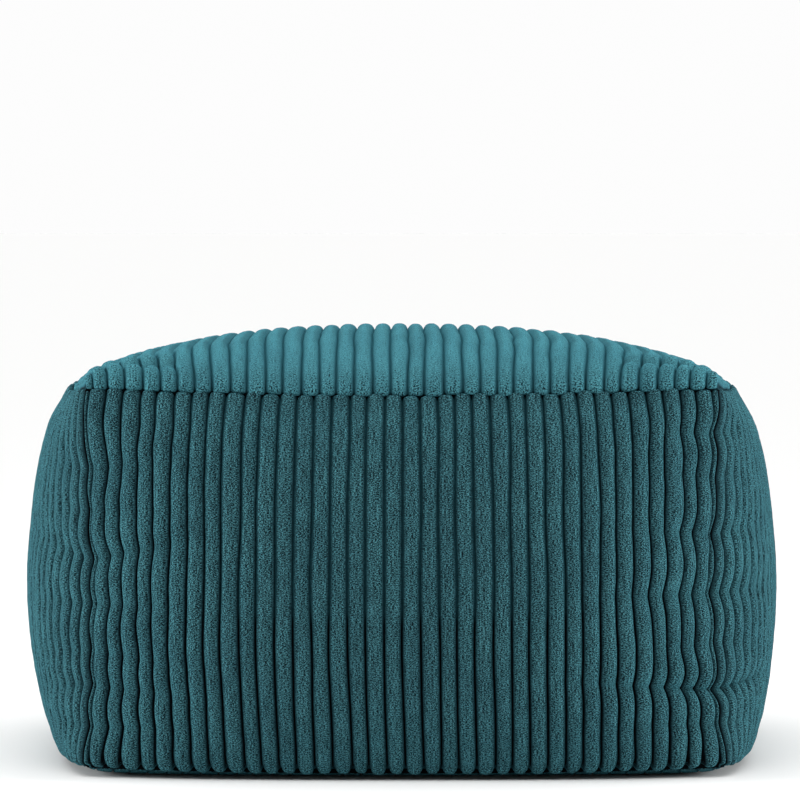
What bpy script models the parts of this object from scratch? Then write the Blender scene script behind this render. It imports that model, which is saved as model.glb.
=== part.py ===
"""Square pouf in thick corduroy, a filled seat with a crowned top.

Six sewn panels meet in plain seams. Each panel is one solid that carries its
share of the filling, so the six together are the whole filled form.
Metres, +Z up, the pouf stands on the floor at z = 0, centred on the Z axis.
"""
from collections import namedtuple
import math

import bmesh
import bpy
import numpy as np

CORDS = 36                    # cords across each panel
COLUMNS_PER_CORD = 3          # mesh columns in one cord
CORD_HEIGHT = 0.0045          # crest of a cord above its grooves
CORD_FULLNESS = 0.5           # under 1 makes a broad cord with narrow grooves
CORD_SHIFT = 1 / 3            # share of the first cord that the left seam takes in
PANEL_GAP = 0.0004            # between the solids of two panels

CROWN = 0.0392                # middle of the top above its seam
CROWN_FALL = 0.93             # how gently the top falls to the middle of its side seams
CORNER_FALL = 0.63            # the same near the corners, where the top stands up
DEEP_FALL = 0.50              # and to its front and back seams
BULGE_POWER = 2.0             # how the outer cords follow the bulging side seams
TOP_CORE_DROP = 0.028         # underside of the top panel below its seam, in the middle
BASE_CORE_RISE = 0.020        # upper side of the base panel above the floor, in the middle
BASE_GROOVE = 0.0025          # grooves left between the flattened cords under the base
BASE_FLAT = 0.7               # share of the base that lies flat before its corners lift
RISE_POWER = 2                # how late a seam rises towards its corner

# One row for each level of a side panel, from the top seam down to the base seam.
# height, reach: the middle of the panel, reach measured out from the Z axis
# rise: how much higher the same level is at the corner seam
# corner: the corner seam lies at x = y = corner
# square: power of the curve between them, a high one is flat and then turns late
# cord: share of the full cord height
Level = namedtuple("Level", "height rise reach corner square cord")
LEVELS = (
    Level(0.3010, 0.004, 0.2690, 0.2485, 2.5, 0.00),
    Level(0.2925, 0.003, 0.2730, 0.2497, 2.7, 0.85),
    Level(0.2700, 0.002, 0.2825, 0.2502, 3.1, 1.00),
    Level(0.2420, 0.000, 0.2885, 0.2493, 3.5, 1.00),
    Level(0.2140, 0.000, 0.2935, 0.2482, 3.8, 1.00),
    Level(0.1870, 0.000, 0.2970, 0.2472, 3.9, 1.00),
    Level(0.1600, 0.000, 0.2998, 0.2467, 4.0, 1.00),
    Level(0.1330, 0.000, 0.3005, 0.2467, 4.0, 1.00),
    Level(0.1060, 0.000, 0.2992, 0.2477, 4.0, 1.00),
    Level(0.0800, 0.000, 0.2965, 0.2490, 3.9, 1.00),
    Level(0.0530, 0.000, 0.2920, 0.2508, 3.7, 1.00),
    Level(0.0300, 0.001, 0.2865, 0.2522, 3.4, 1.00),
    Level(0.0110, 0.003, 0.2790, 0.2530, 3.0, 0.85),
    Level(0.0040, 0.004, 0.2690, 0.2500, 2.8, 0.00),
)
TOP_SEAM = LEVELS[0]
BASE_SEAM = LEVELS[-1]

# Rows of the top and the base from front to back, as shares of the half depth
TOP_ROWS = (-1.0, -0.998, -0.98, -0.92, -0.80, -0.60, -0.35, -0.12,
            0.12, 0.35, 0.60, 0.80, 0.92, 0.98, 0.998, 1.0)
BASE_ROWS = (-1.0, -0.94, -BASE_FLAT, -0.35, 0.0, 0.35, BASE_FLAT, 0.94, 1.0)

# One row for each pucker beside a corner seam, where the cloth is drawn in.
# height: of the pucker; spread: how far it reaches up and down
# length: how far it runs from the seam, as a share of the half panel; depth: at the seam
Pucker = namedtuple("Pucker", "corner height spread length depth")
PUCKERS = (
    Pucker("front_left", 0.241, 0.018, 0.28, 0.0030),
    Pucker("front_left", 0.160, 0.016, 0.30, 0.0045),
    Pucker("front_left", 0.106, 0.016, 0.32, 0.0050),
    Pucker("front_left", 0.053, 0.016, 0.30, 0.0045),
    Pucker("front_right", 0.214, 0.018, 0.24, 0.0030),
    Pucker("front_right", 0.133, 0.016, 0.30, 0.0045),
    Pucker("front_right", 0.080, 0.012, 0.34, 0.0060),
    Pucker("front_right", 0.030, 0.012, 0.26, 0.0030),
    Pucker("back_right", 0.241, 0.018, 0.26, 0.0035),
    Pucker("back_right", 0.160, 0.018, 0.30, 0.0045),
    Pucker("back_right", 0.080, 0.018, 0.30, 0.0050),
    Pucker("back_left", 0.214, 0.018, 0.30, 0.0040),
    Pucker("back_left", 0.133, 0.016, 0.26, 0.0045),
    Pucker("back_left", 0.053, 0.016, 0.30, 0.0050),
)

# Side panels in order round the pouf: quarter turns from the front, and the
# corners at the panel's left and right hand, seen from outside.
Side = namedtuple("Side", "name turns left right")
SIDES = (
    Side("front_panel", 0, "front_left", "front_right"),
    Side("right_panel", 1, "front_right", "back_right"),
    Side("back_panel", 2, "back_right", "back_left"),
    Side("left_panel", 3, "back_left", "front_left"),
)

TEAL = (0.045, 0.185, 0.220, 1.0)
TEAL_TOP = (0.060, 0.225, 0.265, 1.0)
PILE_ROUGHNESS = 0.9


def clear_scene():
    for item in list(bpy.data.objects):
        bpy.data.objects.remove(item, do_unlink=True)


def velvet(name, color):
    material = bpy.data.materials.new(name)
    material.use_nodes = True
    shader = material.node_tree.nodes["Principled BSDF"]
    shader.inputs["Base Color"].default_value = color
    shader.inputs["Roughness"].default_value = PILE_ROUGHNESS
    shader.inputs["Metallic"].default_value = 0.0
    material.diffuse_color = color
    return material


def seam_curve(level, across):
    """Plan of one level of a panel: x along the panel and reach out from the axis.

    The points stand at equal lengths along the curve, as cords do."""
    x = np.linspace(0.0, level.corner, 200)
    fall = (level.reach - level.corner) * (x / level.corner) ** level.square
    length = np.concatenate(([0.0], np.cumsum(np.hypot(np.diff(x), np.diff(fall)))))
    wanted = np.abs(across) * length[-1]
    along = np.interp(wanted, length, x)
    reach = level.reach - np.interp(wanted, length, fall)
    return np.sign(across) * along, reach


def cord_relief(across):
    """Height of the cords above their grooves, flattened away in the two end seams."""
    phase = (across + 1.0) / 2.0 * CORDS + CORD_SHIFT
    relief = CORD_HEIGHT * np.abs(np.sin(math.pi * phase)) ** CORD_FULLNESS
    relief[[0, -1]] = 0.0
    return relief


def outward(points):
    """Unit normals of a grid of points, rows by columns, on the outer side."""
    across_panel = np.gradient(points, axis=1)
    from_row_to_row = np.gradient(points, axis=0)
    normals = np.cross(across_panel, from_row_to_row)
    return normals / np.linalg.norm(normals, axis=2, keepdims=True)


def pucker_depth(corner, away, heights):
    """How far the cloth is drawn in, away from a corner seam by a share of the panel."""
    depth = np.zeros_like(heights)
    for row in PUCKERS:
        if row.corner == corner:
            level = np.exp(-((heights - row.height) / row.spread) ** 2)
            depth += row.depth * level * np.exp(-(away / row.length) ** 2)
    return depth


def side_points(side, across):
    """Outer face of a side panel as it hangs at the front, before it is turned."""
    rows = []
    for level in reversed(LEVELS):
        x, reach = seam_curve(level, across)
        z = level.height + level.rise * np.abs(across) ** RISE_POWER
        rows.append(np.stack((x, -reach, z), axis=1))
    points = np.array(rows)
    normals = outward(points)
    # A corner seam moves only in its own upright plane, which the next panel shares
    normals[:, 0] = (-math.sqrt(0.5), -math.sqrt(0.5), 0.0)
    normals[:, -1] = (math.sqrt(0.5), -math.sqrt(0.5), 0.0)
    share = np.array([level.cord for level in reversed(LEVELS)])[:, None]
    drawn_in = pucker_depth(side.left, 1.0 + across, points[:, :, 2])
    drawn_in += pucker_depth(side.right, 1.0 - across, points[:, :, 2])
    # The two seam rows keep their place: cords end there and nothing is drawn in
    lift = share * cord_relief(across) - (share > 0) * drawn_in
    return points + normals * lift[:, :, None]


def flat_plan(seam, across, deep):
    """Plan of the top or the base, filled in between its four seams."""
    x, front = seam_curve(seam, across)
    y, side = seam_curve(seam, deep)
    follow_x = np.sign(x) * np.abs(x / seam.corner) ** BULGE_POWER
    follow_y = np.sign(y) * np.abs(y / seam.corner) ** BULGE_POWER
    return (x[None, :] + np.outer(side - seam.corner, follow_x),
            y[:, None] + np.outer(follow_y, front - seam.corner))


def swell(wide, far):
    """Share of the crown, from the places to the side and to the front or back seam."""
    fall = CROWN_FALL - (CROWN_FALL - CORNER_FALL) * far ** 9
    sideways = np.clip(1.0 - wide ** 1.8, 1e-9, 1.0) ** fall
    forward = np.clip(1.0 - far ** 4.2, 1e-9, 1.0) ** DEEP_FALL
    both = (sideways ** -6.5 + forward ** -6.5) ** (-1 / 6.5) * 2 ** (1 / 6.5)
    return both * (wide < 1.0) * (far < 1.0)


def top_points(across, deep):
    x, y = flat_plan(TOP_SEAM, across, deep)
    wide = np.abs(across)[None, :]
    far = np.abs(deep)[:, None]
    crown = CROWN * swell(wide, far)
    z = TOP_SEAM.height + crown + TOP_SEAM.rise * (wide * far) ** RISE_POWER
    points = np.stack((x, y, z), axis=2)
    cord = np.tile(cord_relief(across), (len(deep), 1))
    cord[[0, -1]] = 0.0
    cord[[1, -2]] *= LEVELS[1].cord
    return points + outward(points) * cord[:, :, None]


def base_points(across, deep):
    """Underside, its cords flattened on the floor with shallow grooves between."""
    x, y = flat_plan(BASE_SEAM, across, deep)
    groove = BASE_GROOVE * (cord_relief(across) < CORD_HEIGHT / 2)
    corner = np.outer(np.clip((np.abs(deep) - BASE_FLAT) / (1.0 - BASE_FLAT), 0.0, 1.0) ** 2,
                      np.clip((np.abs(across) - BASE_FLAT) / (1.0 - BASE_FLAT), 0.0, 1.0) ** 2)
    z = groove[None, :] + BASE_SEAM.rise * corner
    rim = BASE_SEAM.height + BASE_SEAM.rise * (np.abs(np.outer(deep, across))) ** RISE_POWER
    on_rim = np.zeros(z.shape, dtype=bool)
    on_rim[[0, -1], :] = True
    on_rim[:, [0, -1]] = True
    return np.stack((x, y, np.where(on_rim, rim, z)), axis=2)


def shaped_grid(points, facing):
    """A flat grid moved onto the points; facing turns it over for an underside."""
    rows, columns = points.shape[:2]
    mesh = bmesh.new()
    bmesh.ops.create_grid(mesh, x_segments=columns - 1, y_segments=rows - 1, size=1.0)
    mesh.verts.ensure_lookup_table()
    for vertex in mesh.verts:
        column = round((vertex.co.x + 1.0) / 2.0 * (columns - 1))
        row = round((vertex.co.y + 1.0) / 2.0 * (rows - 1))
        vertex.co = points[row, column]
    if facing < 0:
        bmesh.ops.reverse_faces(mesh, faces=mesh.faces)
    return mesh


def close_to_axis(mesh, upper, lower):
    """Fill a panel back to two points on the Z axis: its seams are drawn to the nearer one."""
    rim = [edge for edge in mesh.edges if edge.is_boundary]
    made = bmesh.ops.extrude_edge_only(mesh, edges=rim)["geom"]
    fresh = [item for item in made if isinstance(item, bmesh.types.BMVert)]
    middle = (TOP_SEAM.height + BASE_SEAM.height) / 2
    high = [vertex for vertex in fresh if vertex.co.z > middle]
    low = [vertex for vertex in fresh if vertex.co.z <= middle]
    for group, point in ((high, upper), (low, lower)):
        if group:
            bmesh.ops.pointmerge(mesh, verts=group, merge_co=point)


def add_panel(name, mesh, color, collection, turns=0, offset=(0.0, 0.0, 0.0)):
    bmesh.ops.translate(mesh, verts=mesh.verts, vec=offset)
    data = bpy.data.meshes.new(name)
    mesh.to_mesh(data)
    mesh.free()
    data.shade_smooth()
    data.set_sharp_from_angle(angle=math.radians(50))
    data.materials.append(velvet(name, color))
    panel = bpy.data.objects.new(name, data)
    panel.rotation_euler.z = turns * math.pi / 2
    collection.objects.link(panel)
    return panel


def build():
    clear_scene()
    collection = bpy.data.collections.new("square_pouf")
    bpy.context.scene.collection.children.link(collection)
    across = np.linspace(-1.0, 1.0, CORDS * COLUMNS_PER_CORD + 1)
    upper = (0.0, 0.0, TOP_SEAM.height - TOP_CORE_DROP)
    lower = (0.0, 0.0, BASE_CORE_RISE)

    for side in SIDES:
        mesh = shaped_grid(side_points(side, across), 1)
        close_to_axis(mesh, upper, lower)
        add_panel(side.name, mesh, TEAL, collection, side.turns,
                  (0.0, -PANEL_GAP, PANEL_GAP))

    top = shaped_grid(top_points(across, np.array(TOP_ROWS)), 1)
    close_to_axis(top, upper, lower)
    add_panel("top_panel", top, TEAL_TOP, collection, 0, (0.0, 0.0, 2 * PANEL_GAP))

    base = shaped_grid(base_points(across, np.array(BASE_ROWS)), -1)
    close_to_axis(base, upper, lower)
    add_panel("base_panel", base, TEAL, collection)


build()
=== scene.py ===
"""Square pouf in thick corduroy: six cloth panels over one crowned filling.

The filling is a smooth form that a cloth simulation settles. Each panel is a fine
grid laid on it, raised into cords, drawn in by puckers beside the corner seams and
rounded over at its plain seams.
"""
from collections import namedtuple
import math

import bpy
import numpy as np
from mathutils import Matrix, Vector


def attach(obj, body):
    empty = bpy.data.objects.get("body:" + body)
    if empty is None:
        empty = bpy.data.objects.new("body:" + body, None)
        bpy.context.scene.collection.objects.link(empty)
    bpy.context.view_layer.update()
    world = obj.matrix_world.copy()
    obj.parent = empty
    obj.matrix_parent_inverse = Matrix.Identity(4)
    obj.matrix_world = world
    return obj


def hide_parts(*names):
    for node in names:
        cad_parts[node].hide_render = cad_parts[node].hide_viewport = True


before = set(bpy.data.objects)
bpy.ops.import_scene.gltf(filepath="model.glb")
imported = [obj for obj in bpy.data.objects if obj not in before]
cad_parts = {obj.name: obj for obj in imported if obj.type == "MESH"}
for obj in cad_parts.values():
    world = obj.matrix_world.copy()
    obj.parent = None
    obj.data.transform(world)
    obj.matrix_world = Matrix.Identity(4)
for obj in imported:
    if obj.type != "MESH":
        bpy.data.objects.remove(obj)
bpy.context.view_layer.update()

# Cloth, in metres
CORDS = 36.62                 # cords across a side panel, the cut ones by their share
TOP_CORDS = 36.0
COLUMNS_PER_CORD = 12
CORD_HEIGHT = 0.0049          # crest above the cloth's ground
GROOVE_DIP = 0.0028           # bottom of a groove below the ground
CORD_BACK = 2.5               # round of a cord's back: more is flatter on top
CORD_FLANK = 0.46             # steepness of its flanks: less is steeper
CORD_END = 0.0026             # length over which a cord rounds off into a seam
LOWER_END = 0.0200            # the same where a side's cords turn under its lower edge
TIP_WIDTH = 0.72              # width of a cord where it meets the seam, as a share
LOWER_TIP_WIDTH = 0.20        # the same at the lower edge
END_SPREAD = (0.8, 1.25)      # the least and most that one cord's rounding differs
LOWER_GAP = 0.065             # how far the grooves open low on a side, as a share of a cord
LOWER_GAP_REACH = 0.165       # and how far up the side they do
TIP_LIFT = 0.70               # how far the ends under the top seam lean up over it
LEAST_CORD = 0.1              # a cut cord narrower than this share is left out
LEAST_FULLNESS = 0.15         # height of the narrowest cut cords, as a share
FULLNESS_POWER = 0.6
SHADE_POWER = 0.18            # how little painted shade darkens the rounded ends: less is lighter
GROUND_EDGE = 0.0022          # length over which the cloth's ground dips in from a seam
END_REACH = 0.016             # how far from a cord's end its pile still stands open
END_UNEVENNESS = 0.0010       # how much one cord's end stops short of the next one's
PITCH_UNEVENNESS = 0.05       # grooves off their even places, as a share of a cord
WANDER = 0.07                 # grooves winding along their length, as a share of a cord
WANDER_LENGTH = 0.055         # length of one bend
WANDER_APART = 0.8            # how differently neighbouring grooves wind
PULL = 0.16                   # more winding beside the corner seams, as a share of a cord
PULL_LENGTH = 0.022
PULL_APART = 0.6
PULL_REACH = 0.30
LUMP = 0.00022                # soft lumps along a cord
LUMP_LENGTH = 0.009
LUMP_APART = 3.7              # how differently neighbouring cords are lumpy
TUFT = 0.00010                # raggedness of the pile from point to point
SEAM_WAVE = 0.0011            # a seam's line is drawn up and down by its stitches
SEAM_WAVE_LENGTH = 0.020
SEAM_WAVE_REACH = 0.018
SEAM_CALM_POWER = 8           # the wave dies out just before the corners
WAVE_START = 50.0
SEAM_SAG = 0.0025             # the top seams at the left and right hang a little lower

# Filling
CROWN = 0.0394                # height of the top's middle over its seams
CROWN_FALL = 0.78             # how gently the top falls to the middle of its side seams
FRONT_CORNER_FALL = 0.34      # the same near the front corners, where the top stands up
BACK_CORNER_FALL = 1.00       # and near the back corners
DEEP_FALL = 0.48              # and to its front and back seams
WIDE_POWER = 1.82             # how flat the crown is from side to side
DEEP_POWER = 3.2              # and from front to back
CROWN_BLEND = 6               # how tightly the two meet
BULGE_POWER = 2.0             # how the outer cords follow the bulging side seams
RISE_POWER = 2                # how late a level rises on its way to the corner seam
CURVE_STEPS = 200
PUCKER_START = 0.02           # puckers are full only this far from the end seams
CREASE_START = 0.03           # and creases this share inside the top's rim
CREASE_ENDS = 0.4             # depth left at the two ends of a crease, as a share
BASE_GROOVE = 0.0025
BASE_GROOVE_EDGE = 1.6        # how narrow the pressed grooves are: more is narrower
BASE_FLAT = 0.7               # share of the base that lies flat on the floor
BASE_EDGE_POWER = 24          # how close to its seams the base rises to them
LEAN = 0.0026                 # how far the lowest part leans to the right
LEAN_HEIGHT = 0.070
CENTRE = (0.0, 0.0, 0.150)    # the panels' solids run back to here
SIDE_ROWS = 150
FLAT_ROWS = 150
CROWDING = 0.62               # how much closer together the rows stand at the ends
SETTLE_ROWS = 30
SETTLE_COLUMNS = 48
SETTLE_FRAMES = 20
SETTLE_CAP = 0.0025           # the furthest that settling may move the cloth
SWELL = 0.0025                # the cover starts this much smaller than it is when filled
SIDE_HOLD = 0.16              # how firmly the filling holds the cloth: 1 on the floor
TOP_HOLD = 0.22
RESTING_HEIGHT = 0.012        # the cloth below this lies on the floor
TOP_START = 0.006             # the cloth this far over the top seam is the top's
WELD = 0.0008
MATCHES_PER_METRE = 1000.0    # settled points are found again to the millimetre
CLOTH_QUALITY = 6
CLOTH_MASS = 0.25
CLOTH_STIFFNESS = 25.0
CLOTH_BENDING = 0.4
PRESSURE = 4.0
SHARP_ANGLE = math.radians(100)

# One row for each level of a side panel, from the top seam down to the base seam:
# height and reach of the panel's middle, rise of the level towards the corner seam,
# half width at that seam, and the power of the curve that joins them in plan
Level = namedtuple("Level", "height rise reach corner square")
LEVELS = (
    Level(0.3010, 0.004, 0.2690, 0.2485, 2.5),
    Level(0.2925, 0.003, 0.2730, 0.2497, 2.7),
    Level(0.2700, 0.002, 0.2840, 0.2502, 3.1),
    Level(0.2420, 0.000, 0.2905, 0.2493, 3.5),
    Level(0.2140, 0.000, 0.2945, 0.2482, 3.8),
    Level(0.1870, 0.000, 0.2970, 0.2472, 3.9),
    Level(0.1600, 0.000, 0.2998, 0.2467, 4.0),
    Level(0.1330, 0.000, 0.3005, 0.2467, 4.0),
    Level(0.1060, 0.000, 0.2992, 0.2477, 4.0),
    Level(0.0800, 0.000, 0.2965, 0.2490, 3.9),
    Level(0.0530, 0.000, 0.2920, 0.2508, 3.7),
    Level(0.0300, 0.001, 0.2865, 0.2522, 3.4),
    Level(0.0110, 0.002, 0.2790, 0.2535, 3.0),
    Level(0.0040, 0.003, 0.2640, 0.2490, 2.8),
)
TOP_SEAM = LEVELS[0]
MIDDLE_LEVEL = LEVELS[7]
BASE_SEAM = LEVELS[-1]

# One row for each pucker beside a corner seam, where the cloth is drawn in.
# slant: how far it climbs on its way out, for a whole half panel
# spread: half its height; length: how far it runs, as a share of the half panel
Pucker = namedtuple("Pucker", "corner height slant spread length depth")
PUCKER_POWER = 1.5            # under 2 makes a pucker sharper in its middle
PUCKERS = (
    Pucker("front_left", 0.2430, 0.02, 0.012, 0.22, 0.0034),
    Pucker("front_left", 0.2090, 0.00, 0.010, 0.20, 0.0026),
    Pucker("front_left", 0.1700, 0.05, 0.011, 0.30, 0.0062),
    Pucker("front_left", 0.1360, 0.00, 0.009, 0.22, 0.0039),
    Pucker("front_left", 0.1010, -0.04, 0.011, 0.28, 0.0039),
    Pucker("front_left", 0.0730, -0.02, 0.012, 0.30, 0.0062),
    Pucker("front_left", 0.0400, 0.00, 0.010, 0.26, 0.0047),
    Pucker("front_right", 0.2700, 0.00, 0.011, 0.15, 0.0060),
    Pucker("front_right", 0.2350, 0.02, 0.011, 0.20, 0.0029),
    Pucker("front_right", 0.1900, 0.02, 0.010, 0.24, 0.0049),
    Pucker("front_right", 0.1440, 0.00, 0.011, 0.30, 0.0062),
    Pucker("front_right", 0.1060, -0.02, 0.010, 0.20, 0.0031),
    Pucker("front_right", 0.0680, 0.02, 0.007, 0.32, 0.0097),
    Pucker("front_right", 0.0420, 0.00, 0.010, 0.22, 0.0039),
    Pucker("back_right", 0.2500, 0.02, 0.012, 0.24, 0.0044),
    Pucker("back_right", 0.2020, 0.00, 0.011, 0.26, 0.0047),
    Pucker("back_right", 0.1580, 0.03, 0.011, 0.30, 0.0059),
    Pucker("back_right", 0.1160, -0.02, 0.010, 0.24, 0.0042),
    Pucker("back_right", 0.0790, -0.03, 0.012, 0.30, 0.0065),
    Pucker("back_right", 0.0420, 0.00, 0.010, 0.22, 0.0039),
    Pucker("back_left", 0.2660, 0.00, 0.011, 0.18, 0.0047),
    Pucker("back_left", 0.2160, 0.03, 0.012, 0.28, 0.0052),
    Pucker("back_left", 0.1720, 0.00, 0.010, 0.22, 0.0039),
    Pucker("back_left", 0.1300, -0.02, 0.011, 0.28, 0.0059),
    Pucker("back_left", 0.0880, -0.03, 0.010, 0.24, 0.0042),
    Pucker("back_left", 0.0530, 0.00, 0.011, 0.30, 0.0062),
)

# One row for each crease in the top panel, in metres: its two ends, its width and depth
Crease = namedtuple("Crease", "x y to_x to_y width depth")
CREASES = (
    Crease(0.178, -0.236, 0.246, -0.228, 0.006, 0.0090),
    Crease(0.215, -0.198, 0.262, -0.150, 0.009, 0.0040),
    Crease(-0.232, -0.226, -0.175, -0.240, 0.007, 0.0080),
    Crease(-0.258, -0.120, -0.215, -0.160, 0.010, 0.0034),
    Crease(0.140, 0.238, 0.215, 0.214, 0.008, 0.0048),
    Crease(-0.246, 0.206, -0.176, 0.236, 0.007, 0.0056),
    Crease(-0.130, -0.205, -0.080, -0.190, 0.012, 0.0014),
    Crease(0.020, 0.214, 0.090, 0.200, 0.012, 0.0018),
)

# Panels, their turn from the front, the corners at their left and right hand as seen
# from outside, and the share of the first cord that shows beside the left seam
Side = namedtuple("Side", "name turns left right first")
SIDES = (
    Side("front_panel", 0, "front_left", "front_right", 0.31),
    Side("right_panel", 1, "front_right", "back_right", 0.88),
    Side("back_panel", 2, "back_right", "back_left", 0.70),
    Side("left_panel", 3, "back_left", "front_left", 0.80),
)
TOP_FIRST = 0.35
BASE_FIRST = 0.50

# Starts of the random draws
WAVE_SEED = 40
SIDE_SEED = 100
TOP_SEED = 200
BASE_SEED = 300

# Camera, as the photo sees the pouf
CAMERA_DISTANCE = 5.0
CAMERA_TILT = math.radians(3.7)
CAMERA_AIM = Vector((0.0, 0.0, 0.170))
IMAGE_SIZE = 800
PIXELS_PER_METRE = 1213       # at the aim point
AIM_COLUMN = 401.7
AIM_ROW = 540
SENSOR = 36.0

# Colours are linear
PILE = (0.018, 0.061, 0.073)
PILE_DARK = (0.002, 0.006, 0.009)
PILE_TIP = (0.090, 0.290, 0.335)
# The top's pile is the sides' cloth painted lighter: painted light from above on the top panel
PAINTED_LIGHT_TOP_PILE = (0.044, 0.175, 0.211)
PAINTED_LIGHT_TOP_PILE_TIP = (0.090, 0.300, 0.345)
GROOVE = (0.02, 0.02, 0.03)   # painted shade: what is left of the pile's colour down in a groove
END_DARKNESS = 0.02           # darker pile at the ends of the cords
CREST = 2.2                   # how fast the mottling fades from a cord's crest to its flanks
FLANK_MOTTLE = 0.15           # and what is left of it there
SHEEN = (0.15, 0.75, 0.95)
FLOOR = (0.91, 0.91, 0.905)

# Pile: sizes across and along the cords, in metres, and their weights in the grain
ROW_SIZE = (0.0015, 0.0006)
ROW_WEIGHT = 0.40
TUFT_WEIGHT = 0.48
STREAK_SIZE = (0.0011, 0.0150)
STREAK_WEIGHT = 0.12
PATCH_SIZE = (0.045, 0.070)
WHITE = (1.0, 1.0, 1.0)
TONE_STOPS = (0.38, 0.48, 0.64)   # grain at the dark, plain and light pile colour
PATCH_STOPS = ((0.30, (0.80, 0.80, 0.82)), (0.70, WHITE))
# Painted shade: the pile's colour darkens down the cords' flanks and is almost black in the
# grooves
GROOVE_SHADE_STOPS = ((0.42, GROOVE), (0.53, (0.42, 0.42, 0.45)), (0.66, (0.84, 0.84, 0.86)),
              (0.92, WHITE))
ROUGHNESS = 0.75
ROUGHNESS_RANGE = 0.2
SHEEN_ROUGHNESS = 0.35
SPECULAR = 0.06
BUMP_DEPTH = 0.0016

# Stage
FLOOR_SIZE = 60.0
FLOOR_ROUGHNESS = 0.8
LEFT_LIGHT = (-2.5, -0.45, 0.70)
RIGHT_LIGHT = (2.5, -0.45, 0.70)
LIGHT_AIM = (0.0, -0.1, 0.18)
LIGHT_SIZE = (0.5, 0.9)
LEFT_POWER = 46.0
RIGHT_POWER = 43.0

# Brightness of the surroundings at sines of the height above the horizon
SKY = ((0.00, 0.49), (0.05, 0.49), (0.12, 0.10), (0.60, 0.10), (0.80, 1.00), (1.00, 1.00))
SKY_STRENGTH = 2.0


def soft_noise(seed, u, v):
    """Smooth random values from -1 to 1 over a plane, one new value for each unit."""
    u, v = np.broadcast_arrays(u, v)
    low = np.floor(u).astype(int), np.floor(v).astype(int)
    lattice = np.random.default_rng(seed).uniform(-1.0, 1.0, (256, 256))

    def corner(i, j):
        return lattice[(low[0] + i) % 256, (low[1] + j) % 256]

    fu, fv = u - low[0], v - low[1]
    fu, fv = fu * fu * (3 - 2 * fu), fv * fv * (3 - 2 * fv)
    near = corner(0, 0) * (1 - fu) + corner(1, 0) * fu
    far = corner(0, 1) * (1 - fu) + corner(1, 1) * fu
    return near * (1 - fv) + far * fv


def spline(wanted, places, values):
    """A smooth curve through values at places, read at the wanted places."""
    slopes = np.gradient(values, places)
    i = np.clip(np.searchsorted(places, wanted, side="right") - 1, 0, len(places) - 2)
    width = places[i + 1] - places[i]
    t = (wanted - places[i]) / width
    return ((1 + 2 * t) * (1 - t) ** 2 * values[i] + t * (1 - t) ** 2 * width * slopes[i]
            + t * t * (3 - 2 * t) * values[i + 1] + t * t * (t - 1) * width * slopes[i + 1])


def profile(up):
    """The levels of a side panel at shares of its way up, and their distance along it."""
    table = np.array(LEVELS[::-1])
    steps = np.hypot(np.diff(table[:, 0]), np.diff(table[:, 2]))
    places = np.concatenate(([0.0], np.cumsum(steps)))
    wanted = np.asarray(up) * places[-1]
    columns = [spline(wanted, places, table[:, k]) for k in range(table.shape[1])]
    return [Level(*row) for row in np.stack(columns, axis=1)], wanted


def half_plan(level):
    """Plan of half a level: places along the panel and how far each falls back."""
    x = np.linspace(0.0, level.corner, CURVE_STEPS)
    return x, (level.reach - level.corner) * (x / level.corner) ** level.square


def seam_curve(level, across):
    """Plan of a level: x along the panel and reach out from the middle, evenly spaced."""
    x, fall = half_plan(level)
    length = np.concatenate(([0.0], np.cumsum(np.hypot(np.diff(x), np.diff(fall)))))
    wanted = np.abs(across) * length[-1]
    reach = level.reach - np.interp(wanted, length, fall)
    return np.sign(across) * np.interp(wanted, length, x), reach


def cloth_length(form):
    """Distance from the first row to every point, over the cloth along its column."""
    steps = np.linalg.norm(np.diff(form, axis=0), axis=2)
    return np.concatenate((np.zeros((1, form.shape[1])), np.cumsum(steps, axis=0)))


def half_width(level):
    """Length of cloth from the middle of a panel to its corner seam."""
    x, fall = half_plan(level)
    return np.hypot(np.diff(x), np.diff(fall)).sum()


def seam_wave(index, across):
    """How far the top seam is drawn up or down along one side of the pouf."""
    place = across * half_width(TOP_SEAM) / SEAM_WAVE_LENGTH
    calm = 1.0 - np.abs(across) ** SEAM_CALM_POWER
    wave = SEAM_WAVE * soft_noise(WAVE_SEED + index, place + WAVE_START, np.zeros_like(place))
    return calm * (wave - SEAM_SAG * (index % 2))


def outward(points):
    """Unit normals of a grid of points, rows by columns, on the outer side."""
    across_panel = np.gradient(points, axis=1)
    from_row_to_row = np.gradient(points, axis=0)
    normals = np.cross(across_panel, from_row_to_row)
    return normals / np.maximum(np.linalg.norm(normals, axis=2, keepdims=True), 1e-12)


def pucker_depth(corner, away, heights):
    """How far the cloth is drawn in, away from a corner seam by a share of the panel."""
    depth = np.zeros_like(heights)
    for row in PUCKERS:
        if row.corner == corner:
            middle = row.height + row.slant * away
            level = np.exp(-np.abs((heights - middle) / row.spread) ** PUCKER_POWER)
            depth += row.depth * level * np.exp(-(away / row.length) ** 2)
    return depth


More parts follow.
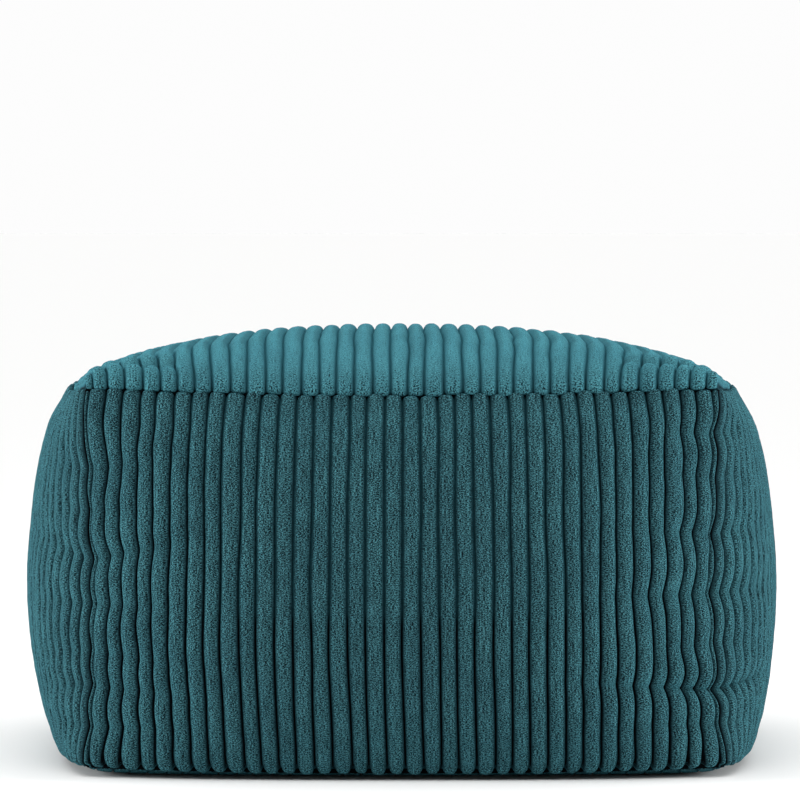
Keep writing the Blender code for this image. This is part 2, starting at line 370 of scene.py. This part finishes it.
def side_form(side, across, up):
    """Smooth face of the filling under a side panel, as it hangs at the front."""
    levels, along = profile(up)
    rows = []
    for level, where in zip(levels, across):
        x, reach = seam_curve(level, where)
        z = level.height + level.rise * np.abs(where) ** RISE_POWER
        rows.append(np.stack((x, -reach, z), axis=1))
    points = np.array(rows)
    below_seam = along[-1] - along
    wave = seam_wave(side.turns, across) * np.exp(-(below_seam / SEAM_WAVE_REACH) ** 2)[:, None]
    points[:, :, 2] += wave
    drawn_in = pucker_depth(side.left, 1.0 + across, points[:, :, 2])
    drawn_in += pucker_depth(side.right, 1.0 - across, points[:, :, 2])
    drawn_in *= np.clip(np.minimum(along, below_seam) / PUCKER_START, 0.0, 1.0)[:, None]
    # Puckers draw the cloth towards the middle, so both panels at a seam move alike
    flat = points * (1.0, 1.0, 0.0)
    flat /= np.linalg.norm(flat, axis=2, keepdims=True)
    return points - flat * drawn_in[:, :, None]


def lean(form):
    """The filled pouf leans a little to the right low down, where it has sagged."""
    return form + np.exp(-(form[:, :, 2:] / LEAN_HEIGHT) ** 2) * (LEAN, 0.0, 0.0)


def flat_plan(seam, across, deep):
    """Plan of the top or the base, filled in between its four seams."""
    x, front = seam_curve(seam, across)
    y, side = seam_curve(seam, deep)
    follow_x = np.sign(x) * np.abs(x / seam.corner) ** BULGE_POWER
    follow_y = np.sign(y) * np.abs(y / seam.corner) ** BULGE_POWER
    return x + (side - seam.corner) * follow_x, y + (front - seam.corner) * follow_y


def swell(wide, deep):
    """Share of the crown, from the places to the side and towards the back."""
    far = np.abs(deep)
    corner = np.where(deep < 0.0, FRONT_CORNER_FALL, BACK_CORNER_FALL)
    fall = CROWN_FALL - (CROWN_FALL - corner) * far ** 2
    sideways = np.clip(1.0 - wide ** WIDE_POWER, 1e-9, 1.0) ** fall
    forward = np.clip(1.0 - far ** DEEP_POWER, 1e-9, 1.0) ** DEEP_FALL
    both = (sideways ** -CROWN_BLEND + forward ** -CROWN_BLEND) ** (-1 / CROWN_BLEND) * (
        2 ** (1 / CROWN_BLEND))
    return both * (wide < 1.0) * (far < 1.0)


def top_form(across, up):
    """Smooth crowned face of the filling under the top panel."""
    deep = np.broadcast_to((2.0 * up - 1.0)[:, None], across.shape)
    x, y = flat_plan(TOP_SEAM, across, deep)
    wide, far = np.abs(across), np.abs(deep)
    z = TOP_SEAM.height + TOP_SEAM.rise * (wide * far) ** RISE_POWER
    z = z + CROWN * swell(wide, deep)
    reach = SEAM_WAVE_REACH / TOP_SEAM.reach
    edges = ((0, across, 1.0 + deep), (1, deep, 1.0 - across),
             (2, -across, 1.0 - deep), (3, -deep, 1.0 + across))
    for index, along_edge, away in edges:
        z = z + seam_wave(index, along_edge) * np.exp(-(away / reach) ** 2)
    inside = np.clip((1.0 - np.maximum(wide, far)) / CREASE_START, 0.0, 1.0)
    z = z - crease_depth(x, y) * inside
    return np.stack((x, y, z), axis=2)


def crease_depth(x, y):
    """How far the creases press the top panel in at each place."""
    depth = np.zeros_like(x)
    for row in CREASES:
        run = np.array((row.to_x - row.x, row.to_y - row.y))
        length = np.hypot(*run)
        run /= length
        aside, forth = x - row.x, y - row.y
        along = np.clip(aside * run[0] + forth * run[1], 0.0, length)
        apart = np.hypot(aside - along * run[0], forth - along * run[1])
        taper = CREASE_ENDS + (1.0 - CREASE_ENDS) * np.sin(math.pi * along / length)
        depth += row.depth * taper * np.exp(-(apart / row.width) ** 2)
    return depth


def base_form(across, up):
    """Face of the filling over the base panel, flat where it rests on the floor."""
    deep = np.broadcast_to((2.0 * up - 1.0)[:, None], across.shape)
    x, y = flat_plan(BASE_SEAM, across, deep)
    corner = [np.clip((np.abs(way) - BASE_FLAT) / (1.0 - BASE_FLAT), 0.0, 1.0) ** 2
              for way in (across, deep)]
    edge = np.maximum(np.abs(across), np.abs(deep)) ** BASE_EDGE_POWER
    rim = BASE_SEAM.height + BASE_SEAM.rise * (np.abs(across * deep)) ** RISE_POWER
    z = rim * edge + BASE_SEAM.rise * corner[0] * corner[1] * (1.0 - edge)
    return np.stack((x, y, z), axis=2)


def groove_places(seed, cords, first, along):
    """Where the grooves and the two seams lie across a panel, for each row of it."""
    step = 2.0 / cords
    even = np.arange(-1.0 + first * step, 1.0 - LEAST_CORD * step, step)
    even = np.concatenate(([-1.0], even, [1.0]))
    jitter = np.random.default_rng(seed).uniform(-1.0, 1.0, len(even)) * PITCH_UNEVENNESS * step
    number = np.arange(len(even))[None, :] * WANDER_APART
    wander = soft_noise(seed + 1, number, along[:, None] / WANDER_LENGTH) * WANDER * step
    wander += soft_noise(seed + 5, number * PULL_APART, along[:, None] / PULL_LENGTH) * (
        PULL * step * np.exp(-((1.0 - np.abs(even)) / PULL_REACH) ** 2))
    places = even[None, :] + jitter + wander
    places[:, 0], places[:, -1] = -1.0, 1.0
    return places


def cord_columns(places):
    """Place across the panel, number, side from -1 to 1 and fullness of each mesh column."""
    turn = np.linspace(0.0, math.pi, COLUMNS_PER_CORD + 1)[:-1]
    share = (1.0 - np.cos(turn)) / 2.0
    start, width = places[:, :-1, None], np.diff(places, axis=1)[:, :, None]
    across = (start + width * share).reshape(len(places), -1)
    across = np.concatenate((across, places[:, -1:]), axis=1)
    cords = places.shape[1] - 1
    side = np.concatenate((np.tile(2.0 * share - 1.0, cords), [1.0]))
    number = np.minimum(np.arange(len(side)) // COLUMNS_PER_CORD, cords - 1)
    cord_share = np.diff(places, axis=1) * TOP_CORDS / 2.0
    fullness = np.clip(cord_share, LEAST_FULLNESS, 1.0) ** FULLNESS_POWER
    return across, side, number, fullness[:, number]


def cord_relief(along, side, number, fullness, seed, first_end=CORD_END, gap=0.0):
    """Round backs of the cords from 0 to 1, rounded off like a fingertip at both ends.

    Also gives their shade: how far each place is out of the grooves, which the pile's colour
    darkens with painted shade.
    """
    random = np.random.default_rng(seed)
    cords = number.max() + 1
    outline = np.ones(along.shape)
    width = 1.0 - gap * np.exp(-(along / LOWER_GAP_REACH) ** 2)
    for distance, end in ((along, first_end), (along[-1] - along, CORD_END)):
        short = random.uniform(0.0, END_UNEVENNESS, cords)[number]
        radius = end * random.uniform(*END_SPREAD, cords)[number]
        inside = np.clip((distance - short) / radius, 0.0, 1.0)
        tip = np.sqrt(1.0 - (1.0 - inside) ** 2)
        outline *= tip
        narrowest = TIP_WIDTH if end == CORD_END else LOWER_TIP_WIDTH
        width *= narrowest + (1.0 - narrowest) * tip
    narrowed = np.abs(side) / width
    back = np.clip(1.0 - narrowed ** CORD_BACK, 0.0, 1.0) ** CORD_FLANK
    # The shade also falls to nothing at the rounded ends, which paints shade along the seams
    return back * outline * fullness, back * outline ** SHADE_POWER


def crowded_rows(count):
    """Shares from 0 to 1 that stand closer together towards both ends."""
    even = np.linspace(0.0, 1.0, count)
    return even - CROWDING * np.sin(2.0 * math.pi * even) / (2.0 * math.pi)


def steep_rows(count):
    """The same, much closer at the ends, for the steep rim of the top."""
    even = np.linspace(0.0, 1.0, count)
    return even ** 3 * (10.0 - 15.0 * even + 6.0 * even ** 2)


def grid_object(name, points):
    """A grid primitive whose points are moved onto the given ones, rows by columns."""
    rows, columns = points.shape[:2]
    bpy.ops.object.select_all(action="DESELECT")
    bpy.ops.mesh.primitive_grid_add(x_subdivisions=columns - 1, y_subdivisions=rows - 1, size=2.0,
                                    location=(0.0, 0.0, 0.0))
    piece = bpy.context.object
    piece.name = piece.data.name = name
    flat = np.empty(len(piece.data.vertices) * 3)
    piece.data.vertices.foreach_get("co", flat)
    flat = flat.reshape(-1, 3)
    column = np.rint((flat[:, 0] + 1.0) / 2.0 * (columns - 1)).astype(int)
    row = np.rint((flat[:, 1] + 1.0) / 2.0 * (rows - 1)).astype(int)
    piece.data.vertices.foreach_set("co", points[row, column].ravel())
    piece.data.update()
    return piece, row, column


def turned(points, turns):
    """Points turned about +Z by quarter turns."""
    angle = turns * math.pi / 2.0
    c, s = math.cos(angle), math.sin(angle)
    return points @ np.array(((c, s, 0.0), (-s, c, 0.0), (0.0, 0.0, 1.0)))


def settle(forms):
    """Settles the welded cover over its filling and gives each form's movement."""
    pieces = [grid_object("settle_" + name, points)[0] for name, points in forms.items()]
    bpy.ops.object.select_all(action="DESELECT")
    for piece in pieces:
        piece.select_set(True)
    cover = pieces[0]
    bpy.context.view_layer.objects.active = cover
    bpy.ops.object.join()
    bpy.ops.object.mode_set(mode="EDIT")
    bpy.ops.mesh.select_all(action="SELECT")
    bpy.ops.mesh.remove_doubles(threshold=WELD)
    bpy.ops.mesh.normals_make_consistent(inside=False)
    bpy.ops.object.mode_set(mode="OBJECT")
    start = np.array([v.co for v in cover.data.vertices])
    on_floor = start[:, 2] < RESTING_HEIGHT
    inward = np.array([v.normal for v in cover.data.vertices]) * -SWELL
    inward[on_floor] = 0.0
    cover.data.vertices.foreach_set("co", (start + inward).ravel())
    on_top = start[:, 2] > TOP_SEAM.height + TOP_START
    held = cover.vertex_groups.new(name="held")
    for where, firmness in ((~on_floor, SIDE_HOLD), (on_top, TOP_HOLD), (on_floor, 1.0)):
        held.add([int(i) for i in np.flatnonzero(where)], firmness, "REPLACE")
    cloth = cover.modifiers.new("cloth", "CLOTH")
    cloth.settings.quality = CLOTH_QUALITY
    cloth.settings.mass = CLOTH_MASS
    cloth.settings.tension_stiffness = CLOTH_STIFFNESS
    cloth.settings.compression_stiffness = CLOTH_STIFFNESS
    cloth.settings.bending_stiffness = CLOTH_BENDING
    cloth.settings.use_pressure = True
    cloth.settings.uniform_pressure_force = PRESSURE
    cloth.settings.vertex_group_mass = held.name
    cloth.settings.effector_weights.gravity = 0.0
    scene = bpy.context.scene
    for number in range(1, SETTLE_FRAMES + 1):
        scene.frame_set(number)
    settled = cover.evaluated_get(bpy.context.evaluated_depsgraph_get()).to_mesh()
    end = np.array([v.co for v in settled.vertices])
    moved = end - start
    far = np.linalg.norm(moved, axis=1, keepdims=True)
    moved *= SETTLE_CAP * np.tanh(far / SETTLE_CAP) / np.maximum(far, 1e-9)
    found = {tuple(np.rint(place * MATCHES_PER_METRE).astype(int)): i
             for i, place in enumerate(start)}
    movement = {}
    for name, points in forms.items():
        flat = points.reshape(-1, 3)
        keys = np.rint(flat * MATCHES_PER_METRE).astype(int)
        rows = [found.get(tuple(key), -1) for key in keys]
        missing = [i for i, row in enumerate(rows) if row < 0]
        for i in missing:
            rows[i] = int(np.argmin(((start - flat[i]) ** 2).sum(axis=1)))
        movement[name] = moved[rows].reshape(points.shape)
    scene.frame_set(1)
    bpy.data.objects.remove(cover, do_unlink=True)
    return movement


def spread_over(movement, across, up, coarse_across, coarse_up):
    """Movement known on the settling grid, read at every place of a fine panel."""
    rows, columns = movement.shape[:2]
    r = np.interp(up, coarse_up, np.arange(rows))[:, None]
    c = np.interp(across, coarse_across, np.arange(columns))
    r0 = np.clip(np.floor(r).astype(int), 0, rows - 2)
    c0 = np.clip(np.floor(c).astype(int), 0, columns - 2)
    fr, fc = (r - r0)[:, :, None], (c - c0)[:, :, None]
    fr, fc = fr * fr * (3 - 2 * fr), fc * fc * (3 - 2 * fc)
    near = movement[r0, c0] * (1 - fc) + movement[r0, c0 + 1] * fc
    far = movement[r0 + 1, c0] * (1 - fc) + movement[r0 + 1, c0 + 1] * fc
    return near * (1 - fr) + far * fr


def raise_cords(form, along, relief, number, seed, lift_ends=0.0):
    """The cloth's face over a form: cords, soft lumps and tufts, level at its seams."""
    lumps = soft_noise(seed + 3, number[None, :] * LUMP_APART, along / LUMP_LENGTH)
    tufts = np.random.default_rng(seed + 4).uniform(-1.0, 1.0, relief.shape)
    ground = np.clip(np.minimum(along, along[-1] - along) / GROUND_EDGE, 0.0, 1.0)
    ground[:, 0] = ground[:, -1] = 0.0
    raised = relief * (CORD_HEIGHT + GROOVE_DIP + LUMP * lumps + TUFT * tufts)
    normals = outward(form)
    normals[:, :, 2] += lift_ends * np.exp(-((along[-1] - along) / CORD_END) ** 2)
    normals /= np.linalg.norm(normals, axis=2, keepdims=True)
    return form + normals * (raised * (ground > 0.0) - GROOVE_DIP * ground)[:, :, None]


def store_cloth(piece, row, column, along, across, width, shade):
    """Keeps each point's place on the cloth in metres, its mask for painted shade and its
    nearness to a seam.
    """
    mesh = piece.data
    known = len(row)
    to_seam = np.minimum(np.minimum(along, along[-1] - along), (1.0 - np.abs(across)) * width)
    end = np.exp(-(to_seam / END_REACH) ** 2)
    for key, values in (("cord_crest_and_painted_shade", shade), ("cord_end", end)):
        kept = np.zeros(len(mesh.vertices), np.float32)
        kept[:known] = values[row, column]
        mesh.attributes.new(key, "FLOAT", "POINT").data.foreach_set("value", kept)
    place = np.zeros((len(mesh.vertices), 2))
    place[:known, 0] = (across * width)[row, column]
    place[:known, 1] = along[row, column]
    corner = np.empty(len(mesh.loops), int)
    mesh.loops.foreach_get("vertex_index", corner)
    layer = mesh.uv_layers.get("cloth") or mesh.uv_layers.new(name="cloth")
    layer.data.foreach_set("uv", place[corner].astype(np.float32).ravel())


def close_back(piece):
    """Runs a panel's rim back to the middle of the filling, so that it is one solid."""
    bpy.ops.object.mode_set(mode="EDIT")
    bpy.ops.mesh.select_mode(type="EDGE")
    bpy.ops.mesh.select_all(action="DESELECT")
    bpy.ops.mesh.select_non_manifold(extend=False, use_boundary=True, use_wire=False,
                                     use_multi_face=False, use_non_contiguous=False,
                                     use_verts=False)
    bpy.ops.mesh.extrude_edges_move()
    bpy.context.scene.cursor.location = CENTRE
    bpy.ops.mesh.merge(type="CURSOR")
    bpy.ops.mesh.select_mode(type="VERT")
    bpy.ops.mesh.select_all(action="DESELECT")
    bpy.ops.object.mode_set(mode="OBJECT")


def finish_panel(name, face, details, material, flipped=False):
    piece, row, column = grid_object(name + "_cloth", face)
    if flipped:
        bpy.ops.object.mode_set(mode="EDIT")
        bpy.ops.mesh.select_all(action="SELECT")
        bpy.ops.mesh.flip_normals()
        bpy.ops.object.mode_set(mode="OBJECT")
    close_back(piece)
    store_cloth(piece, row, column, *details)
    bpy.ops.object.shade_smooth()
    piece.data.set_sharp_from_angle(angle=SHARP_ANGLE)
    piece.data.materials.append(material)
    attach(piece, "root")
    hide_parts(name)
    return piece


def settled_movement(coarse, coarse_up):
    """How far the filled cover settles, on a coarse grid for each panel."""
    forms = {}
    grid = np.broadcast_to(coarse, (len(coarse_up), len(coarse)))
    for side in SIDES:
        forms[side.name] = turned(side_form(side, grid, coarse_up), side.turns)
    grid = np.broadcast_to(coarse, (len(coarse), len(coarse)))
    forms["top_panel"] = top_form(grid, (coarse + 1.0) / 2.0)
    forms["base_panel"] = base_form(grid, (coarse + 1.0) / 2.0)
    return settle(forms)


def build_panels(materials):
    """The four side panels, then the top and the base, over the settled filling."""
    coarse_up = np.linspace(0.0, 1.0, SETTLE_ROWS)
    coarse_flat = crowded_rows(SETTLE_COLUMNS)
    coarse = 2.0 * coarse_flat - 1.0
    movement = settled_movement(coarse, coarse_up)

    side_up, flat_up = crowded_rows(SIDE_ROWS), steep_rows(FLAT_ROWS)
    for order, side in enumerate(SIDES):
        seed = SIDE_SEED + 10 * order
        width = half_width(MIDDLE_LEVEL)
        places = groove_places(seed, CORDS, side.first, profile(side_up)[1])
        across, side_of, number, fullness = cord_columns(places)
        form = turned(side_form(side, across, side_up), side.turns)
        if movement:
            form += spread_over(movement[side.name], across, side_up, coarse, coarse_up)
        form = lean(form)
        along = cloth_length(form)
        relief, shade = cord_relief(along, side_of, number, fullness, seed + 2,
                                    first_end=LOWER_END, gap=LOWER_GAP)
        face = raise_cords(form, along, relief, number, seed, lift_ends=TIP_LIFT)
        finish_panel(side.name, face, (along, across, width, shade), materials["side"])

    width = half_width(TOP_SEAM)
    places = groove_places(TOP_SEED, TOP_CORDS, TOP_FIRST, flat_up * 2.0 * TOP_SEAM.reach)
    across, side_of, number, fullness = cord_columns(places)
    form = top_form(across, flat_up)
    if movement:
        form += spread_over(movement["top_panel"], across, flat_up, coarse, coarse_flat)
    along = cloth_length(form)
    relief, shade = cord_relief(along, side_of, number, fullness, TOP_SEED + 2)
    face = raise_cords(form, along, relief, number, TOP_SEED)
    finish_panel("top_panel", face, (along, across, width, shade), materials["top"])

    width = half_width(BASE_SEAM)
    places = groove_places(BASE_SEED, TOP_CORDS, BASE_FIRST, side_up * 2.0 * BASE_SEAM.reach)
    across, side_of, number, fullness = cord_columns(places)
    form = lean(base_form(across, side_up))
    along = cloth_length(form)
    relief, shade = cord_relief(along, side_of, number, fullness, BASE_SEED + 2)
    form[:, :, 2] += BASE_GROOVE * (1.0 - np.clip(relief * BASE_GROOVE_EDGE, 0.0, 1.0))
    finish_panel("base_panel", form, (along, across, width, shade), materials["side"],
                 flipped=True)


def node(tree, kind, **settings):
    """A new shader node with its settings."""
    made = tree.nodes.new(kind)
    for key, value in settings.items():
        setattr(made, key, value)
    return made


def cord_pile(name, tuft_size, pile, tip, sheen, calm):
    """Cut pile in cords: mottled tufts in short rows, painted shade darkening the grooves, a soft
    sheen.

    calm: how much of the mottling is left away from the cords' ends
    """
    material = bpy.data.materials.new(name)
    material.use_nodes = True
    tree = material.node_tree
    link = tree.links.new
    shader = tree.nodes["Principled BSDF"]
    place = node(tree, "ShaderNodeUVMap", uv_map="cloth")
    # The cords' shade mask: it paints shade into the grooves and fades the mottling on the flanks
    height = node(tree, "ShaderNodeAttribute", attribute_name="cord_crest_and_painted_shade")
    end = node(tree, "ShaderNodeAttribute", attribute_name="cord_end")

    def noise(size, detail, roughness):
        mapping = node(tree, "ShaderNodeMapping")
        mapping.inputs["Scale"].default_value = (1.0 / size[0], 1.0 / size[1], 1.0)
        texture = node(tree, "ShaderNodeTexNoise", noise_dimensions="2D")
        texture.inputs["Scale"].default_value = 1.0
        texture.inputs["Detail"].default_value = detail
        texture.inputs["Roughness"].default_value = roughness
        link(place.outputs["UV"], mapping.inputs["Vector"])
        link(mapping.outputs["Vector"], texture.inputs["Vector"])
        return texture.outputs["Fac"]

    def ramp(value, stops):
        made = node(tree, "ShaderNodeValToRGB")
        elements = made.color_ramp.elements
        while len(elements) < len(stops):
            elements.new(0.5)
        for element, (position, color) in zip(elements, stops):
            element.position = position
            element.color = (*color, 1.0)
        link(value, made.inputs["Fac"])
        return made.outputs["Color"]

    def multiply(first, second):
        made = node(tree, "ShaderNodeMix", data_type="RGBA", blend_type="MULTIPLY")
        made.inputs["Factor"].default_value = 1.0
        link(first, made.inputs["A"])
        link(second, made.inputs["B"])
        return made.outputs["Result"]

    def combine(operation, *values):
        made = node(tree, "ShaderNodeMath", operation=operation)
        for socket, value in zip(made.inputs, values):
            if isinstance(value, float):
                socket.default_value = value
            else:
                link(value, socket)
        return made.outputs["Value"]

    tufts = noise(tuft_size, 1.0, 0.5)
    rows = noise(ROW_SIZE, 0.0, 0.5)
    streaks = noise(STREAK_SIZE, 0.0, 0.5)
    grain = combine("MULTIPLY_ADD", rows, ROW_WEIGHT, combine("MULTIPLY", tufts, TUFT_WEIGHT))
    grain = combine("MULTIPLY_ADD", streaks, STREAK_WEIGHT, grain)
    open_pile = combine("MULTIPLY_ADD", end.outputs["Fac"], 1.0 - calm, calm)
    crest = combine("MULTIPLY_ADD", height.outputs["Fac"], CREST, 1.0 - CREST)
    open_pile = combine("MULTIPLY", open_pile, combine("MAXIMUM", crest, FLANK_MOTTLE))
    apart = combine("MULTIPLY", combine("SUBTRACT", grain, 0.5), open_pile)
    level = combine("MULTIPLY_ADD", end.outputs["Fac"], -END_DARKNESS, 0.5)
    grain = combine("ADD", apart, level)
    patches = noise(PATCH_SIZE, 3.0, 0.6)
    tone = ramp(grain, tuple(zip(TONE_STOPS, (PILE_DARK, pile, tip))))
    tone = multiply(tone, ramp(patches, PATCH_STOPS))
    # Painted shade: darker down the flanks, almost black in the grooves and at the seams
    painted_groove_shade = ramp(height.outputs["Fac"], GROOVE_SHADE_STOPS)
    link(multiply(tone, painted_groove_shade), shader.inputs["Base Color"])

    roughness = combine("MULTIPLY_ADD", grain, ROUGHNESS_RANGE, ROUGHNESS)
    link(roughness, shader.inputs["Roughness"])
    shader.inputs["Sheen Weight"].default_value = sheen
    shader.inputs["Sheen Roughness"].default_value = SHEEN_ROUGHNESS
    shader.inputs["Sheen Tint"].default_value = (*SHEEN, 1.0)
    shader.inputs["Specular IOR Level"].default_value = SPECULAR

    bump = node(tree, "ShaderNodeBump")
    bump.inputs["Strength"].default_value = 1.0
    bump.inputs["Distance"].default_value = BUMP_DEPTH
    link(grain, bump.inputs["Height"])
    link(bump.outputs["Normal"], shader.inputs["Normal"])
    return material


def plain_floor():
    """A wide pale floor that isn't part of the pouf."""
    bpy.ops.object.select_all(action="DESELECT")
    bpy.ops.mesh.primitive_plane_add(size=FLOOR_SIZE, location=(0.0, 0.0, 0.0))
    floor = bpy.context.object
    floor.name = "floor"
    material = bpy.data.materials.new("pale_floor")
    material.use_nodes = True
    shader = material.node_tree.nodes["Principled BSDF"]
    shader.inputs["Base Color"].default_value = (*FLOOR, 1.0)
    shader.inputs["Roughness"].default_value = FLOOR_ROUGHNESS
    floor.data.materials.append(material)


def area_light(name, place, power):
    """A soft upright light beside the pouf."""
    data = bpy.data.lights.new(name, "AREA")
    data.shape = "RECTANGLE"
    data.size, data.size_y = LIGHT_SIZE
    data.energy = power
    lamp = bpy.data.objects.new(name, data)
    lamp.location = place
    ray = Vector(LIGHT_AIM) - Vector(place)
    lamp.rotation_euler = ray.to_track_quat("-Z", "Y").to_euler()
    bpy.context.scene.collection.objects.link(lamp)


def studio():
    """A bright soft ceiling, dimmer walls, and a white band low round the horizon."""
    world = bpy.data.worlds.new("studio")
    world.use_nodes = True
    tree = world.node_tree
    background = tree.nodes["Background"]
    way = node(tree, "ShaderNodeTexCoord")
    split = node(tree, "ShaderNodeSeparateXYZ")
    steps = node(tree, "ShaderNodeValToRGB")
    elements = steps.color_ramp.elements
    while len(elements) < len(SKY):
        elements.new(0.5)
    for element, (height, brightness) in zip(elements, SKY):
        element.position = height
        element.color = (brightness, brightness, brightness, 1.0)
    tree.links.new(way.outputs["Generated"], split.inputs["Vector"])
    tree.links.new(split.outputs["Z"], steps.inputs["Fac"])
    tree.links.new(steps.outputs["Color"], background.inputs["Color"])
    background.inputs["Strength"].default_value = SKY_STRENGTH
    bpy.context.scene.world = world
    area_light("left", LEFT_LIGHT, LEFT_POWER)
    area_light("right", RIGHT_LIGHT, RIGHT_POWER)
    bpy.context.scene.view_settings.view_transform = "Standard"


def camera():
    """The photo's view: low and square on to the front panel."""
    data = bpy.data.cameras.new("camera")
    data.sensor_width = SENSOR
    data.lens = PIXELS_PER_METRE * CAMERA_DISTANCE / IMAGE_SIZE * SENSOR
    data.shift_x = (IMAGE_SIZE / 2 - AIM_COLUMN) / IMAGE_SIZE
    data.shift_y = (AIM_ROW - IMAGE_SIZE / 2) / IMAGE_SIZE
    eye = bpy.data.objects.new("camera", data)
    back = Vector((0.0, -math.cos(CAMERA_TILT), math.sin(CAMERA_TILT)))
    eye.location = CAMERA_AIM + back * CAMERA_DISTANCE
    eye.rotation_euler = (math.pi / 2 - CAMERA_TILT, 0.0, 0.0)
    bpy.context.scene.collection.objects.link(eye)
    bpy.context.scene.camera = eye


materials = {
    "side": cord_pile("side_cord_pile", (0.0008, 0.0006), PILE, PILE_TIP, 0.30, 2.0),
    # The top's lighter pile colours are painted light from above
    "top": cord_pile("top_cord_pile_painted_light", (0.0009, 0.0012), PAINTED_LIGHT_TOP_PILE, PAINTED_LIGHT_TOP_PILE_TIP, 0.35, 0.6),
}
camera()
studio()
plain_floor()
build_panels(materials)
